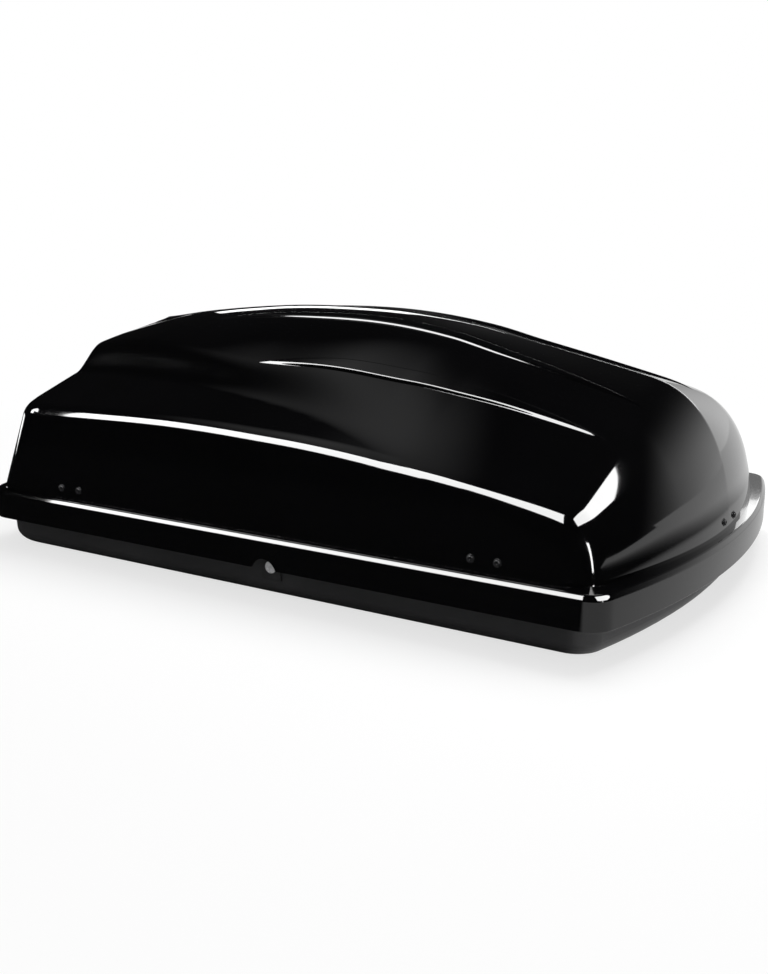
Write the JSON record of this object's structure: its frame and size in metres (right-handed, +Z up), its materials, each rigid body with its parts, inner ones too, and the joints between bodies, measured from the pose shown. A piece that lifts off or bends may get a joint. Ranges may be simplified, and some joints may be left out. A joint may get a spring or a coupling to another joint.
{
  "type": "roof cargo box",
  "caption": "Hard-shell roof cargo box: a domed, ribbed lid hinged along one side of a shallow base tray, with a key lock, sliding hook bar, gas stays and slotted bar rails.",
  "frame": {"origin": "centre of the box's plan, on the plane of the tray's underside", "axes": "+X to the nose (the car's front), +Y to the car's left, the hinge side, +Z up"},
  "size_m": [1.3998, 0.9, 0.463],
  "materials": {
    "lid_gloss": "deep glossy black thermoformed sheet",
    "tray_plastic": "fine-grained dark grey sheet",
    "trim_plastic": "satin black moulding",
    "seal_rubber": "soft black extrusion",
    "zinc_steel": "zinc-plated sheet",
    "black_steel": "black powder coat",
    "screw_black": "black-oxide screws on satin washers",
    "rivet_alloy": "plain bright",
    "lock_chrome": "polished"
  },
  "bodies": {
    "base": {"base_tray": "tray_plastic", "rim_seal": "seal_rubber", "rail_left": "zinc_steel", "rail_right": "zinc_steel", "rail_rivets": "rivet_alloy", "hinge_rivets": "rivet_alloy", "lock_housing": "trim_plastic", "lock_ring": "lock_chrome", "hinge_leaf_base_front": "zinc_steel", "hinge_leaf_base_middle": "zinc_steel", "hinge_leaf_base_rear": "zinc_steel", "hinge_pin_front": "lock_chrome", "hinge_pin_middle": "lock_chrome", "hinge_pin_rear": "lock_chrome", "bar_guide_front": "trim_plastic", "bar_guide_middle": "trim_plastic", "bar_guide_rear": "trim_plastic", "stay_foot_front": "black_steel", "stay_foot_rear": "black_steel"},
    "lid": {"lid_shell": "lid_gloss", "locator_front": "trim_plastic", "locator_rear": "trim_plastic", "hinge_leaf_lid_front": "black_steel", "hinge_leaf_lid_middle": "black_steel", "hinge_leaf_lid_rear": "black_steel", "cross_brace_front": "zinc_steel", "cross_brace_rear": "zinc_steel", "catch_front": "zinc_steel", "catch_rear": "zinc_steel", "stay_head_front": "black_steel", "stay_head_rear": "black_steel", "lid_screws_right": "screw_black", "lid_screws_left": "screw_black", "lid_screws_nose": "screw_black", "lid_screws_tail": "screw_black"},
    "key_barrel": {"lock_cylinder": "lock_chrome", "lock_cam": "zinc_steel"},
    "latch": {"lock_bar": "black_steel", "latch_hook_front": "black_steel", "latch_hook_rear": "black_steel"},
    "stay_front_cylinder": {"stay_tube_front": "black_steel"},
    "stay_front_piston": {"stay_rod_front": "lock_chrome"},
    "stay_rear_cylinder": {"stay_tube_rear": "black_steel"},
    "stay_rear_piston": {"stay_rod_rear": "lock_chrome"}
  },
  "joints": [
    {"name": "lid_hinge", "type": "hinge", "parent": "base", "child": "lid", "pos_m": [0, 0.438, 0.104], "axis": [-1, 0, 0], "range_deg": [0, 50]},
    {"name": "key_turn", "type": "hinge", "parent": "base", "child": "key_barrel", "pos_m": [0.02, -0.4, 0.057], "axis": [0, 1, 0], "range_deg": [0, 90]},
    {"name": "latch_slide", "type": "slide", "parent": "base", "child": "latch", "axis": [1, 0, 0], "range_m": [0, 0.016]},
    {"name": "stay_front_swing", "type": "hinge", "parent": "base", "child": "stay_front_cylinder", "pos_m": [0.479, 0.3, 0.025], "axis": [-1, 0, 0], "range_deg": [0, 16.3]},
    {"name": "stay_front_extend", "type": "slide", "parent": "stay_front_cylinder", "child": "stay_front_piston", "axis": [0, 0.4472, 0.8944], "range_m": [0, 0.0605]},
    {"name": "stay_rear_swing", "type": "hinge", "parent": "base", "child": "stay_rear_cylinder", "pos_m": [-0.513, 0.3, 0.025], "axis": [-1, 0, 0], "range_deg": [0, 16.3]},
    {"name": "stay_rear_extend", "type": "slide", "parent": "stay_rear_cylinder", "child": "stay_rear_piston", "axis": [0, 0.4472, 0.8944], "range_m": [0, 0.0605]}
  ],
  "couplings": [
    {"joint": "key_turn", "follows": "latch_slide", "rad_per_m": 98.175},
    {"joint": "stay_front_swing", "follows": "lid_hinge", "ratio": 0.3256},
    {"joint": "stay_front_extend", "follows": "lid_hinge", "m_per_rad": 0.069297},
    {"joint": "stay_rear_swing", "follows": "lid_hinge", "ratio": 0.3256},
    {"joint": "stay_rear_extend", "follows": "lid_hinge", "m_per_rad": 0.069297}
  ]
}
